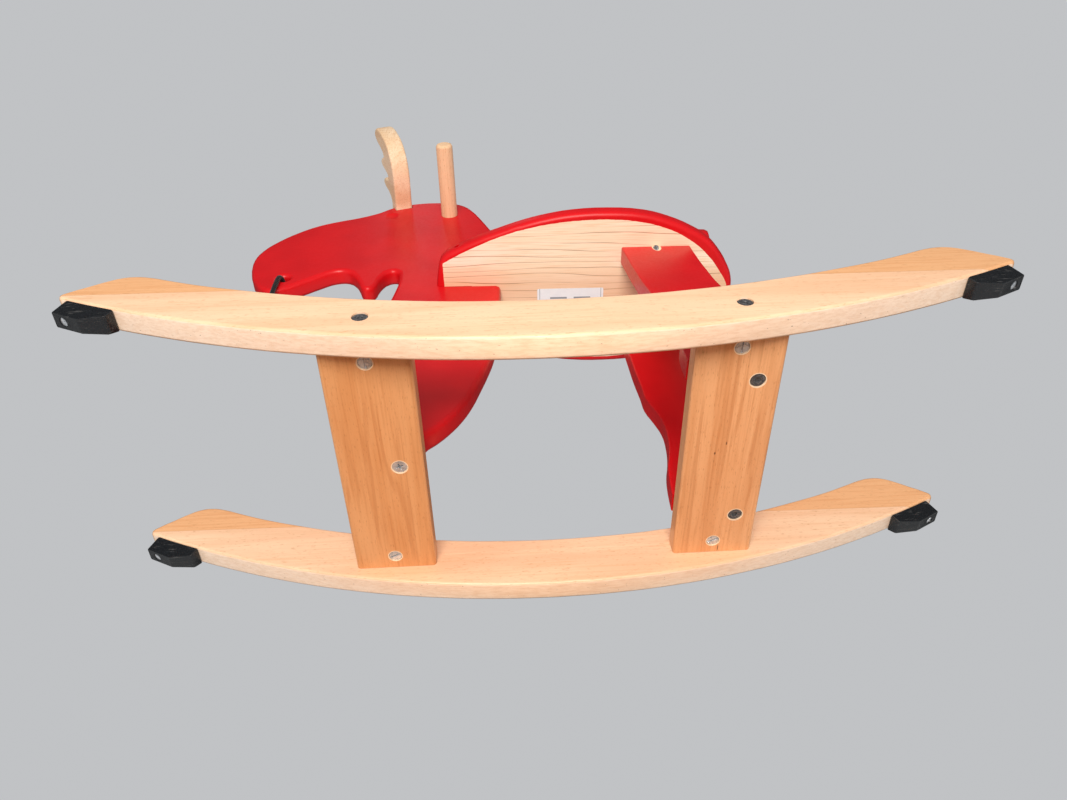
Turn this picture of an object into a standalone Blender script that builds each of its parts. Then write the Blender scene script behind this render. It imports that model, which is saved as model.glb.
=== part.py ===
"""A wooden rocking animal: two curved rockers, two cross boards, a flat head and neck board that
stands on the front one, a seat on two hind legs that stand on the rear one, an antler board, a
round handle, and a rein. Metres, +Z up, +X forward, +Y left. The origin is on the floor, under the
middle of the rockers."""

import math

import bmesh
import bpy
from mathutils import Matrix, Vector

# Shared sizes.
GAP = 0.0003
BOARD = 0.022
SIDES = {"left": 1, "right": -1}
ENDS = {"front": 1, "rear": -1}

# Rockers.
ROCKER_RADIUS = 0.927
ROCKER_OUTER_Y = 0.1466
ROCKER_MIDDLE_Y = ROCKER_OUTER_Y - BOARD / 2
ROCKER_INNER_Y = ROCKER_OUTER_Y - BOARD
ROCKER_EDGE = 0.003

# Cross boards.
CROSS_X = {"front": 0.150, "rear": -0.156}
CROSS_WIDTH = 0.076
CROSS_THICKNESS = 0.020
CROSS_BOTTOM_Z = 0.030
CROSS_MIDDLE_Z = CROSS_BOTTOM_Z + CROSS_THICKNESS / 2
CROSS_TOP_Z = CROSS_BOTTOM_Z + CROSS_THICKNESS
CROSS_LENGTH = 2 * (ROCKER_INNER_Y - GAP)
CROSS_EDGE = 0.003

# Fasteners: connector bolts with barrel nuts, wood screws and wooden pegs.
BOLT_HEAD_RADIUS = 0.0066
BOLT_HEAD_HEIGHT = 0.0022
BOLT_SHANK_RADIUS = 0.003
NUT_RADIUS = 0.006
NUT_LENGTH = 0.014
NUT_INSET = 0.015
PEG_RADIUS = 0.004
SCREW_SHANK_RADIUS = 0.002
SCREW_HEAD_RADIUS = 0.0042

# Head and neck board.
HEAD_ROUNDING = 0.0055
HEAD_FOOT_Z = CROSS_TOP_Z + GAP
MUZZLE_HOLE = (0.303, 0.388)
MUZZLE_HOLE_RADIUS = 0.0075
EYE = (0.187, 0.568)
EYE_SPHERE_RADIUS = 0.026
EYE_DEPTH = 0.0030
HANDLE = (0.1065, 0.5655)
HANDLE_RADIUS = 0.011
HANDLE_LENGTH = 0.222
FRONT_SCREW_X = 0.134
FRONT_PEG_X = 0.168

# Antler board, which leans forward in a notch on top of the head.
ANTLER_LEAN = math.radians(20)
ANTLER_FOOT = (0.1715, 0.5925)
ANTLER_ROUNDING = 0.0032
ANTLER_THICKNESS = 0.024

# Seat, which rises towards the front.
SEAT_SLOPE = math.radians(2)
SEAT_UNDERSIDE = (0.043, 0.3455)
SEAT_THICKNESS = 0.022
SEAT_ROUNDING = 0.006
LAP_X = 0.073
SEAT_SCREW_X = 0.088
SEAT_SCREW_Y = 0.047
BACKREST_X = -0.2030
BACKREST_LEAN = math.radians(6)
BACKREST_THICKNESS = 0.018

# Hind legs, whose tops lean in towards each other.
LEG_FOOT_Y = 0.0765
LEG_SPLAY = math.atan(0.103)
LEG_THICKNESS = 0.021
LEG_ROUNDING = 0.0015
LEG_BOLT_X = -0.1735
LEG_PEG_X = -0.140
TOE_SCREW = (-0.1425, 0.3335)
TOE_SCREW_LEAN = math.radians(32)
SEAT_PEG_X = (-0.120, -0.165)

# End stops, as a side profile from the rocker's running edge outwards.
STOP_INNER_X = 0.3515
STOP_OUTER_X = 0.3965
STOP_NOSE = (0.4045, 0.0745)
STOP_TOE = (0.3795, 0.0615)
STOP_HEEL = (0.3562, 0.0612)
STOP_SCREW_ALONG = 0.60
STOP_WIDTH = 0.0210
STOP_SOLE_WIDTH = 0.0138

# Rein: two runs of one cord, out of both sides of the muzzle hole and down to a knot.
CORD_DIAMETER = 0.006
KNOT = (0.3070, 0.0, 0.272)
KNOT_RADIUS = 0.0105

parts = bpy.data.collections.new("rocking_horse")
cutters = bpy.data.collections.new("cutters")
cut_lists = {}


def clear_scene():
    for obj in list(bpy.data.objects):
        bpy.data.objects.remove(obj)
    for collection in (parts, cutters):
        bpy.context.scene.collection.children.link(collection)


def material(name, colour, roughness, metallic=0.0):
    made = bpy.data.materials.new(name)
    made.use_nodes = True
    shader = made.node_tree.nodes["Principled BSDF"]
    shader.inputs["Base Color"].default_value = (*colour, 1)
    shader.inputs["Roughness"].default_value = roughness
    shader.inputs["Metallic"].default_value = metallic
    return made


def add(name, mesh, place, finish):
    """A named part, or a cutter where finish is None."""
    obj = bpy.data.objects.new(name, mesh)
    obj.matrix_world = place
    if finish is None:
        cutters.objects.link(obj)
        obj.hide_render = True
        obj.display_type = "WIRE"
    else:
        parts.objects.link(obj)
        mesh.materials.append(finish)
    return obj


def smooth(obj, angle=40):
    obj.data.shade_smooth()
    obj.data.set_sharp_from_angle(angle=math.radians(angle))
    return obj


def axis_place(point, direction):
    """A placement whose +Z runs along direction."""
    turn = Vector(direction).to_track_quat("Z", "Y").to_matrix().to_4x4()
    return Matrix.Translation(point) @ turn


def cylinder(name, radius, length, place, finish, sides=24):
    """A cylinder whose top is at the placement's origin and which runs down its -Z."""
    shape = bmesh.new()
    down = Matrix.Translation((0, 0, -length / 2))
    bmesh.ops.create_cone(
        shape, cap_ends=True, segments=sides, radius1=radius, radius2=radius, depth=length, matrix=down
    )
    mesh = bpy.data.meshes.new(name)
    shape.to_mesh(mesh)
    shape.free()
    return smooth(add(name, mesh, place, finish))


def box(name, low, high, place=Matrix(), finish=None):
    shape = bmesh.new()
    size = Vector(high) - Vector(low)
    middle = (Vector(high) + Vector(low)) / 2
    bmesh.ops.create_cube(shape, size=1, matrix=Matrix.Translation(middle) @ Matrix.Diagonal((*size, 1)))
    mesh = bpy.data.meshes.new(name)
    shape.to_mesh(mesh)
    shape.free()
    return add(name, mesh, place, finish)


def turned(name, profile, place, finish, steps=24):
    """A profile of (radius, height) points, from the top of the axis to its bottom, turned round it."""
    mesh = bpy.data.meshes.new(name)
    edges = [(i, i + 1) for i in range(len(profile) - 1)]
    mesh.from_pydata([(radius, 0, height) for radius, height in profile], edges, [])
    obj = add(name, mesh, place, finish)
    screw = obj.modifiers.new("turn", "SCREW")
    screw.steps = screw.render_steps = steps
    screw.use_merge_vertices = True
    screw.merge_threshold = 0.00001
    screw.use_smooth_shade = False
    return obj


def board(name, outlines, thickness, rounding, place, finish, steps=5, corner_rings=1):
    """A flat board with rounded edges from closed outlines of (x, y) points. A point with a third
    value is a sharp corner."""
    curve = bpy.data.curves.new(name, "CURVE")
    curve.dimensions = "2D"
    curve.fill_mode = "BOTH"
    curve.resolution_u = steps
    curve.extrude = thickness / 2 - rounding
    curve.bevel_depth = rounding
    curve.bevel_resolution = corner_rings
    curve.offset = -rounding
    for outline in outlines:
        spline = curve.splines.new("BEZIER")
        spline.bezier_points.add(len(outline) - 1)
        spline.use_cyclic_u = True
        for knot, point in zip(spline.bezier_points, outline):
            knot.co = (point[0], point[1], 0)
            knot.handle_left_type = knot.handle_right_type = "VECTOR" if len(point) > 2 else "AUTO"
    drawn = bpy.data.objects.new(name, curve)
    bpy.context.scene.collection.objects.link(drawn)
    bpy.context.view_layer.update()
    graph = bpy.context.evaluated_depsgraph_get()
    mesh = bpy.data.meshes.new_from_object(drawn.evaluated_get(graph))
    bpy.data.objects.remove(drawn)
    shape = bmesh.new()
    shape.from_mesh(mesh)
    bmesh.ops.remove_doubles(shape, verts=shape.verts, dist=0.00001)
    bmesh.ops.recalc_face_normals(shape, faces=shape.faces)
    shape.to_mesh(mesh)
    shape.free()
    mesh.materials.clear()
    return smooth(add(name, mesh, place, finish))


def upright(x=0, y=0, z=0):
    """A placement that stands a board up in the X-Z plane, its outline's y pointing up."""
    return Matrix.Translation((x, y, z)) @ Matrix.Rotation(math.pi / 2, 4, "X")


def circle(centre, radius, count=8):
    angles = [2 * math.pi * i / count for i in range(count)]
    return [(centre[0] + radius * math.cos(a), centre[1] + radius * math.sin(a)) for a in angles]


def cut(target, *tools):
    cut_lists.setdefault(target.name, []).extend(tools)


def make_cuts():
    """One Boolean for each part, with all of its cutters in a collection of their own."""
    for name, tools in cut_lists.items():
        group = bpy.data.collections.new(name + "_cutters")
        cutters.children.link(group)
        for tool in dict.fromkeys(tools):
            group.objects.link(tool)
        boolean = bpy.data.objects[name].modifiers.new("cut", "BOOLEAN")
        boolean.operation = "DIFFERENCE"
        boolean.operand_type = "COLLECTION"
        boolean.collection = group
        boolean.solver = "EXACT"


def rocker_arc(x):
    return ROCKER_RADIUS - math.sqrt(ROCKER_RADIUS**2 - x**2)


def seat_underside(x):
    return SEAT_UNDERSIDE[1] + (x - SEAT_UNDERSIDE[0]) * math.tan(SEAT_SLOPE)


def seat_place(x=0, lift=0.0):
    """A placement on the seat's underside at x, its +Z standing out of the seat's top."""
    turn = Matrix.Rotation(-SEAT_SLOPE, 4, "Y")
    return Matrix.Translation((x, 0, seat_underside(x))) @ turn @ Matrix.Translation((0, 0, lift))


def leg_middle_y(z):
    return LEG_FOOT_Y - (z - CROSS_TOP_Z) * math.tan(LEG_SPLAY)


def bolt_profile(length, grow=0.0, proud=0.0):
    """A flat-headed connector bolt, its head's face at height 0."""
    head = BOLT_HEAD_RADIUS + grow
    shank = BOLT_SHANK_RADIUS + grow
    under = -BOLT_HEAD_HEIGHT - grow
    return [(0, proud), (head, proud), (head, under), (shank, under), (shank, -length - grow), (0, -length - grow)]


def screw_profile(head, shank, length, grow=0.0, proud=0.0):
    """A countersunk wood screw with a pointed end, its head's face at height 0."""
    cone = -(head - shank)
    return [
        (0, proud),
        (head + grow, proud),
        (head + grow, -0.0006),
        (shank + grow, cone - 0.0006 - grow),
        (shank + grow, -length + shank),
        (0, -length - grow),
    ]


def bolt(name, length, place, *targets):
    """A bolt with a hexagon socket in its head, and its clearance hole in each target."""
    made = turned(name, bolt_profile(length), place, BLACK_STEEL, 16)
    socket = cylinder(name + "_socket", 0.0023, 0.003, place @ Matrix.Translation((0, 0, 0.001)), None, 6)
    cut(made, socket)
    hole = turned(name + "_hole", bolt_profile(length, GAP, 0.001), place, None, 16)
    for target in targets:
        cut(target, hole)
    return hole


def barrel_nut(name, place, bolt_hole, *targets):
    """A slotted barrel nut whose face is at the placement's origin."""
    made = cylinder(name, NUT_RADIUS, NUT_LENGTH, place, ZINC, 20)
    slot = box(name + "_slot", (-0.0005, -0.01, -0.0012), (0.0005, 0.01, 0.001), place)
    cut(made, slot, bolt_hole)
    out = place @ Matrix.Translation((0, 0, 0.002))
    hole = cylinder(name + "_hole", NUT_RADIUS + GAP, NUT_LENGTH + 0.002 + GAP, out, None, 20)
    for target in targets:
        cut(target, hole)


def peg(name, length, place, *targets):
    """A wooden peg centred on the placement's origin, and its hole in each target."""
    start = place @ Matrix.Translation((0, 0, length / 2))
    cylinder(name, PEG_RADIUS, length, start, PEG_WOOD, 12)
    mouth = start @ Matrix.Translation((0, 0, GAP))
    hole = cylinder(name + "_hole", PEG_RADIUS + GAP, length + 2 * GAP, mouth, None, 12)
    for target in targets:
        cut(target, hole)


def wood_screw(name, head, shank, length, place, finish, *targets, recess=0.001):
    """A screw, and in each target its hole, which runs on outwards from the head by the recess."""
    turned(name, screw_profile(head, shank, length), place, finish, 16)
    hole = turned(name + "_hole", screw_profile(head, shank, length, GAP, recess), place, None, 16)
    for target in targets:
        cut(target, hole)


def make_rockers():
    shoulder = [
        (0.2000, 0.0808),
        (0.2560, 0.0955),
        (0.2950, 0.1078),
        (0.3220, 0.1182),
        (0.3380, 0.1246),
        (0.3510, 0.1275),
        (0.3640, 0.1262),
        (0.3760, 0.1200),
        (0.3880, 0.1115),
        (0.3990, 0.1038),
        (0.4055, 0.0968),
        (0.4035, 0.0920),
    ]
    half = (0.398, 0.389, 0.376, 0.36, 0.32, 0.26, 0.19, 0.12, 0.06, 0.008)
    running = [*half, *[-x for x in reversed(half)]]
    top = [(0.12, 0.0664), (0.04, 0.0595)]
    outline = [(-x, z) for x, z in reversed(shoulder)]
    outline += [(-x, z) for x, z in top] + list(reversed(top)) + shoulder
    outline += [(x, rocker_arc(x)) for x in running]
    made = {}
    for side, sign in SIDES.items():
        place = upright(y=sign * ROCKER_MIDDLE_Y)
        made[side] = board("rocker_" + side, [outline], BOARD, ROCKER_EDGE, place, PALE_BEECH, 4)
    return made


def make_cross_boards():
    half = CROSS_WIDTH / 2
    made = {}
    for end in ENDS:
        corners = [(-half, -CROSS_THICKNESS / 2), (half, CROSS_THICKNESS / 2)]
        low = (corners[0][0], -CROSS_LENGTH / 2, corners[0][1])
        high = (corners[1][0], CROSS_LENGTH / 2, corners[1][1])
        place = Matrix.Translation((CROSS_X[end], 0, CROSS_MIDDLE_Z))
        made[end] = box("cross_board_" + end, low, high, place, BEECH)
        mesh = made[end].data
        shape = bmesh.new()
        shape.from_mesh(mesh)
        long_edges = [e for e in shape.edges if abs(e.verts[0].co.y - e.verts[1].co.y) > CROSS_LENGTH / 2]
        bmesh.ops.bevel(
            shape, geom=long_edges, offset=CROSS_EDGE, segments=3, profile=0.5, affect="EDGES", material=-1
        )
        shape.to_mesh(mesh)
        shape.free()
    return made


def join_rockers(rockers, cross_boards):
    """A bolt, a barrel nut and two pegs at each end of each cross board."""
    length = BOARD + NUT_INSET + NUT_RADIUS + 0.004
    for end in ENDS:
        for side, sign in SIDES.items():
            where = end + "_" + side
            rocker = rockers[side]
            cross = cross_boards[end]
            face = (CROSS_X[end], sign * (ROCKER_OUTER_Y - 0.0008), CROSS_MIDDLE_Z)
            hole = bolt("rocker_bolt_" + where, length, axis_place(face, (0, sign, 0)), rocker, cross)
            nut_face = (CROSS_X[end], sign * (ROCKER_INNER_Y - NUT_INSET), CROSS_BOTTOM_Z + 0.0006)
            barrel_nut("rocker_nut_" + where, axis_place(nut_face, (0, 0, -1)), hole, cross)
            for letter, offset in (("a", 0.024), ("b", -0.024)):
                middle = (CROSS_X[end] + offset, sign * (ROCKER_INNER_Y + GAP), CROSS_MIDDLE_Z)
                place = axis_place(middle, (0, sign, 0))
                peg("rocker_peg_" + where + "_" + letter, 0.028, place, rocker, cross)


def make_end_stops(rockers):
    """A wedge under each rocker end, with one screw through its sloping nose."""
    contact = [STOP_OUTER_X + (STOP_INNER_X - STOP_OUTER_X) * i / 3 for i in range(4)]
    radius = ROCKER_RADIUS + GAP
    wood_side = [(x, ROCKER_RADIUS - math.sqrt(radius**2 - x**2)) for x in contact]
    nose, toe = Vector(STOP_NOSE), Vector(STOP_TOE)
    for end, forward in ENDS.items():
        for side, sign in SIDES.items():
            where = end + "_" + side
            outline = [(forward * x, z, 1) for x, z in [*wood_side, STOP_HEEL, STOP_TOE, STOP_NOSE]]
            place = upright(y=sign * ROCKER_MIDDLE_Y)
            stop = board("end_stop_" + where, [outline], STOP_WIDTH, 0, place, BLACK_PLASTIC, 1)
            for vertex in stop.data.vertices:
                depth = rocker_arc(vertex.co.x) - vertex.co.y
                sole = min(1, max(0, depth / (rocker_arc(STOP_TOE[0]) - STOP_TOE[1])))
                vertex.co.z *= 1 + sole * (STOP_SOLE_WIDTH / STOP_WIDTH - 1)
            rounding = stop.modifiers.new("rounding", "BEVEL")
            rounding.width = 0.0014
            rounding.segments = 2
            rounding.limit_method = "ANGLE"
            rounding.angle_limit = math.radians(25)
            on_nose = toe + (nose - toe) * STOP_SCREW_ALONG
            along = (nose - toe).normalized()
            out = (forward * along.y, 0, -along.x)
            face = Vector((forward * on_nose.x, sign * ROCKER_MIDDLE_Y, on_nose.y)) - 0.0012 * Vector(out)
            place = axis_place(face, out)
            name = "end_stop_screw_" + where
            targets = (stop, rockers[side])
            wood_screw(name, SCREW_HEAD_RADIUS, SCREW_SHANK_RADIUS, 0.040, place, ZINC, *targets, recess=0.004)


def make_head_board():
    outline = [
        (0.1130, 0.0300, 1),
        (0.1130, 0.0585),
        (0.1030, 0.0698),
        (0.0925, 0.0828),
        (0.0795, 0.1042),
        (0.0695, 0.1282),
        (0.0618, 0.1537),
        (0.0538, 0.1825),
        (0.0490, 0.2052),
        (0.0430, 0.2600),
        (0.0400, 0.3200),
        (0.0385, 0.3800),
        (0.0390, 0.4400),
        (0.0425, 0.4950),
        (0.0490, 0.5130),
        (0.0610, 0.5480),
        (0.0725, 0.5770),
        (0.0855, 0.5988),
        (0.1050, 0.6113),
        (0.1300, 0.6153),
        (0.1550, 0.6137),
        (0.1780, 0.6065),
        (0.1920, 0.5990),
        (0.2070, 0.5850),
        (0.2330, 0.5700),
        (0.2590, 0.5600),
        (0.2860, 0.5465),
        (0.3095, 0.5263),
        (0.3315, 0.4990),
        (0.3465, 0.4700),
        (0.3515, 0.4430),
        (0.3470, 0.4080),
        (0.3370, 0.3800),
        (0.3230, 0.3610),
        (0.3120, 0.3560),
        (0.2980, 0.3620),
        (0.2800, 0.3755),
        (0.2600, 0.3915),
        (0.2430, 0.4025),
        (0.2280, 0.4020),
        (0.2175, 0.3900),
        (0.2090, 0.3690),
        (0.2040, 0.3560),
        (0.1975, 0.3525),
        (0.1905, 0.3580),
        (0.1850, 0.3800),
        (0.1750, 0.3965),
        (0.1660, 0.3960),
        (0.1625, 0.3800),
        (0.1640, 0.3500),
        (0.1740, 0.2900),
        (0.1800, 0.2300),
        (0.1770, 0.1700),
        (0.1780, 0.1150),
        (0.1865, 0.0780),
        (0.1865, 0.0300, 1),
    ]
    hole = circle(MUZZLE_HOLE, MUZZLE_HOLE_RADIUS)
    head = board("head_board", [outline, hole], BOARD, HEAD_ROUNDING, upright(), RED_PAINT, 3)
    below = (0, -BOARD, -0.01)
    above = (0.3, BOARD, HEAD_FOOT_Z)
    cut(head, box("head_foot_trim", below, above))
    for side, sign in SIDES.items():
        middle = Matrix.Translation((EYE[0], sign * (BOARD / 2 + EYE_SPHERE_RADIUS - EYE_DEPTH), EYE[1]))
        shape = bmesh.new()
        bmesh.ops.create_uvsphere(shape, u_segments=24, v_segments=16, radius=EYE_SPHERE_RADIUS)
        mesh = bpy.data.meshes.new("eye_dimple_" + side)
        shape.to_mesh(mesh)
        shape.free()
        cut(head, add("eye_dimple_" + side, mesh, middle, None))
    return head


def make_handle(head):
    place = axis_place((HANDLE[0], HANDLE_LENGTH / 2, HANDLE[1]), (0, 1, 0))
    chamfer = 0.004
    half = [(0, 0), (HANDLE_RADIUS - chamfer, 0), (HANDLE_RADIUS - 0.0012, -0.0012), (HANDLE_RADIUS, -chamfer)]
    profile = half + [(r, -HANDLE_LENGTH - z) for r, z in reversed(half)]
    turned("handle_dowel", profile, place, TURNED_BEECH, 28)
    cut(head, cylinder("handle_hole", HANDLE_RADIUS + GAP, HANDLE_LENGTH, place, None, 28))


def make_antlers(head):
    """One board for both antlers. Its outline's x is +Y and its y runs up the lean."""
    half = [
        (0.0000, 0.0245),
        (0.0080, 0.0245),
        (0.0180, 0.0230),
        (0.0245, 0.0330),
        (0.0295, 0.0545),
        (0.0350, 0.0595),
        (0.0405, 0.0545),
        (0.0440, 0.0380),
        (0.0485, 0.0290),
        (0.0530, 0.0370),
        (0.0575, 0.0570),
        (0.0632, 0.0622),
        (0.0690, 0.0570),
        (0.0720, 0.0480),
        (0.0760, 0.0440),
        (0.0810, 0.0510),
        (0.0880, 0.0760),
        (0.0960, 0.0830),
        (0.1040, 0.0780),
        (0.1085, 0.0600),
        (0.1070, 0.0400),
        (0.1010, 0.0200),
        (0.0900, 0.0065),
        (0.0700, -0.0030),
        (0.0450, -0.0035),
        (0.0220, -0.0008),
        (0.0130, 0.0000),
        (0.0000, 0.0000),
    ]
    outline = half + [(-x, y) for x, y in reversed(half[1:-1])]
    turn = Matrix.Rotation(ANTLER_LEAN, 4, "Y") @ Matrix(((0, 0, 1, 0), (1, 0, 0, 0), (0, 1, 0, 0), (0, 0, 0, 1)))
    place = Matrix.Translation((ANTLER_FOOT[0], 0, ANTLER_FOOT[1])) @ turn
    antlers = board("antler_board", [outline], ANTLER_THICKNESS, ANTLER_ROUNDING, place, TURNED_BEECH, 3)
    half_thickness = ANTLER_THICKNESS / 2 + GAP
    low = (-BOARD, -0.0006, -half_thickness)
    notch = box("antler_notch", low, (BOARD, 0.05, half_thickness), place)
    cut(head, notch)
    top = place @ Vector((0, 0.0245, 0))
    along = place.to_3x3() @ Vector((0, 1, 0))
    screw_place = axis_place(top - 0.0010 * along, along)
    wood_screw("antler_screw", 0.0045, 0.0022, 0.045, screw_place, ZINC, antlers, head)
    return antlers


def make_seat(head):
    half = [
        (0.1115, 0.0330),
        (0.1048, 0.0480),
        (0.0872, 0.0583),
        (0.0619, 0.0695),
        (0.0384, 0.0779),
        (0.0103, 0.0871),
        (-0.0174, 0.0938),
        (-0.0449, 0.0980),
        (-0.0861, 0.0995),
        (-0.1276, 0.0961),
        (-0.1558, 0.0882),
        (-0.1847, 0.0752),
        (-0.2040, 0.0625),
        (-0.2182, 0.0467),
        (-0.2299, 0.0285),
        (-0.2355, 0.0140),
    ]
    plan = half + [(-0.2370, 0.0)] + [(x, -y) for x, y in reversed(half)]
    outline = [(x / math.cos(SEAT_SLOPE), y) for x, y in plan]
    place = seat_place(0, SEAT_THICKNESS / 2)
    seat = board("seat_board", [outline], SEAT_THICKNESS, SEAT_ROUNDING, place, RED_PAINT, 3)
    # A half lap: the seat is slotted from its front, and the neck from its rear edge.
    slot_half = BOARD / 2 + GAP
    slot_low = (LAP_X / math.cos(SEAT_SLOPE), -slot_half, -0.05)
    cut(seat, box("seat_slot", slot_low, (0.2, slot_half, 0.05), place))
    lap_half = SEAT_THICKNESS / 2 + GAP
    lap_high = ((LAP_X + GAP) / math.cos(SEAT_SLOPE), BOARD, lap_half)
    cut(head, box("neck_notch", (-0.02, -BOARD, -lap_half), lap_high, place))
    for side, sign in SIDES.items():
        face = place @ Vector((SEAT_SCREW_X, sign * SEAT_SCREW_Y, 0))
        screw_place = axis_place(face, (0, sign, 0))
        name = "seat_screw_" + side
        wood_screw(name, 0.0027, 0.0017, 0.045, screw_place, ZINC, seat, head, recess=0.03)
    return seat


def make_backrest(seat):
    half = [
        (0.0370, 0.0060),
        (0.0450, 0.0140),
        (0.0505, 0.0260),
        (0.0485, 0.0420),
        (0.0400, 0.0600),
        (0.0280, 0.0760),
        (0.0140, 0.0850),
    ]
    outline = [(0.0330, -0.006)] + half + [(0, 0.0875)] + [(-x, y) for x, y in reversed(half)]
    outline += [(-0.0330, -0.006)]
    stand = Matrix.Rotation(-BACKREST_LEAN, 4, "Y")
    stand @= Matrix(((0, 0, 1, 0), (1, 0, 0, 0), (0, 1, 0, 0), (0, 0, 0, 1)))
    place = seat_place(BACKREST_X, SEAT_THICKNESS) @ stand
    back = board("backrest", [outline], BACKREST_THICKNESS, 0.005, place, RED_PAINT, 3)
    level = seat_place(BACKREST_X, SEAT_THICKNESS + GAP)
    cut(back, box("backrest_trim", (-0.05, -0.1, -0.03), (0.05, 0.1, 0), level))
    for letter, y in (("a", -0.022), ("b", 0.022)):
        point = place @ Vector((y, 0, 0))
        up = place.to_3x3() @ Vector((0, 1, 0))
        peg("backrest_peg_" + letter, 0.030, axis_place(point, up), back, seat)
    return back


def make_hind_legs(seat, rear_board):
    outline = [
        (-0.1172, 0.0300, 1),
        (-0.1172, 0.0560),
        (-0.1178, 0.0740),
        (-0.1196, 0.0900),
        (-0.1238, 0.1080),
        (-0.1264, 0.1300),
        (-0.1256, 0.1535),
        (-0.1200, 0.1730),
        (-0.1132, 0.1925),
        (-0.1116, 0.2110),
        (-0.1085, 0.2390),
        (-0.1066, 0.2650),
        (-0.1045, 0.3010),
        (-0.1018, 0.3700, 1),
        (-0.1822, 0.3700, 1),
        (-0.1821, 0.2880),
        (-0.1835, 0.2570),
        (-0.1850, 0.2280),
        (-0.1895, 0.1950),
        (-0.1920, 0.1640),
        (-0.1880, 0.1330),
        (-0.1840, 0.1030),
        (-0.1862, 0.0740),
        (-0.1880, 0.0300, 1),
    ]
    low_trim = box("leg_foot_trim", (-0.3, -0.2, -0.02), (0.0, 0.2, CROSS_TOP_Z + GAP))
    high_trim = box("leg_top_trim", (-0.3, -0.2, -GAP), (0.1, 0.2, 0.1), seat_place())
    for side, sign in SIDES.items():
        lean = Matrix.Rotation(sign * LEG_SPLAY, 4, "X")
        foot = Matrix.Translation((0, sign * LEG_FOOT_Y, CROSS_TOP_Z))
        place = foot @ lean @ Matrix.Translation((0, 0, -CROSS_TOP_Z)) @ upright()
        leg = board("hind_leg_" + side, [outline], LEG_THICKNESS, LEG_ROUNDING, place, RED_PAINT, 3)
        cut(leg, low_trim, high_trim)
        outward = (foot @ lean).to_3x3() @ Vector((0, sign, 0))
        half = LEG_THICKNESS / 2

        # The foot: a bolt from below into a barrel nut, and a peg.
        bolt_face = (LEG_BOLT_X, sign * LEG_FOOT_Y, CROSS_BOTTOM_Z + 0.0006)
        hole = bolt("leg_bolt_" + side, 0.060, axis_place(bolt_face, (0, 0, -1)), leg, rear_board)
        nut_middle = Vector((LEG_BOLT_X, sign * leg_middle_y(0.083), 0.083))
        nut_place = axis_place(nut_middle + outward * (half - 0.0005), outward)
        barrel_nut("leg_foot_nut_" + side, nut_place, hole, leg)
        peg_place = axis_place((LEG_PEG_X, sign * LEG_FOOT_Y, CROSS_TOP_Z + 0.004), (0, 0, 1))
        peg("leg_foot_peg_" + side, 0.030, peg_place, leg, rear_board)

        # The top: two pegs, and a screw that leans inwards from a recess in the leg's outer face.
        up = seat_place().to_3x3() @ Vector((0, 0, 1))
        for letter, x in zip("ab", SEAT_PEG_X):
            peg_z = seat_underside(x)
            peg_middle = Vector((x, sign * leg_middle_y(peg_z), peg_z)) - up * 0.002
            peg("leg_top_peg_" + side + "_" + letter, 0.028, axis_place(peg_middle, up), leg, seat)
        on_face = Vector((TOE_SCREW[0], sign * leg_middle_y(TOE_SCREW[1]), TOE_SCREW[1])) + outward * half
        along = Vector((0, sign * math.sin(TOE_SCREW_LEAN), -math.cos(TOE_SCREW_LEAN)))
        recess = axis_place(on_face + along * 0.010, along)
        cut(leg, cylinder("toe_recess_" + side, 0.0042, 0.0125, recess, None, 20))
        screw_place = axis_place(on_face - along * 0.0030, along)
        wood_screw("toe_screw_" + side, 0.0032, 0.0017, 0.028, screw_place, ZINC, leg, seat)


def join_head(head, front_board):
    face = (FRONT_SCREW_X, 0, CROSS_BOTTOM_Z + 0.0005)
    wood_screw("head_screw", 0.0066, 0.003, 0.065, axis_place(face, (0, 0, -1)), ZINC, head, front_board)
    peg_place = axis_place((FRONT_PEG_X, 0, CROSS_TOP_Z + 0.006), (0, 0, 1))
    peg("head_peg", 0.034, peg_place, head, front_board)


def make_label():
    """A blank sticker on the seat's underside."""
    box("blank_label", (-0.0395, -0.0445, -0.0006), (0.0395, 0.0057, -GAP), seat_place(-0.0440), PAPER)


def catmull_rom(points, per_span):
    """Points on a smooth curve through the given ones."""
    padded = [2 * points[0] - points[1], *points, 2 * points[-1] - points[-2]]
    smooth_points = []
    for a, b, c, d in zip(padded, padded[1:], padded[2:], padded[3:]):
        for i in range(per_span):
            t = i / per_span
            smooth_points.append(
                0.5 * (2 * b + (c - a) * t + (2 * a - 5 * b + 4 * c - d) * t**2 + (3 * b - a - 3 * c + d) * t**3)
            )
    return [*smooth_points, points[-1]]


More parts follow.
